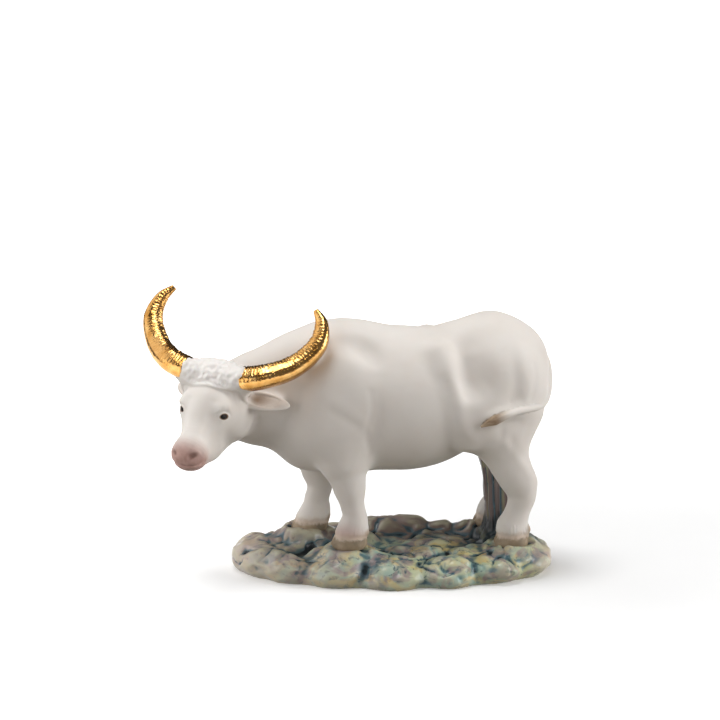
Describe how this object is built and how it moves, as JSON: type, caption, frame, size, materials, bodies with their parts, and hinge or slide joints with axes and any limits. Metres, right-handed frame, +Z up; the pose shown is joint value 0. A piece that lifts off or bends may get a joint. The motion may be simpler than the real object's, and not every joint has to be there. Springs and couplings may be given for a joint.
{
  "type": "water buffalo ox figurine",
  "caption": "Standing water buffalo ox in matte white porcelain with gilded crescent horns, on a low glazed rocky base with a stump that props the belly.",
  "frame": {"origin": "centre of the rocky base's flat underside", "axes": "+Z up, the ox faces -X with its head turned to its left, towards -Y"},
  "size_m": [0.1243, 0.0584, 0.0871],
  "materials": {
    "bisque": "matte unglazed porcelain with gilded horns",
    "glaze": "gloss glaze in green, ochre, mauve and dark teal"
  },
  "bodies": {
    "root": {"ox": "bisque", "rock_base": "glaze"}
  },
  "joints": []
}
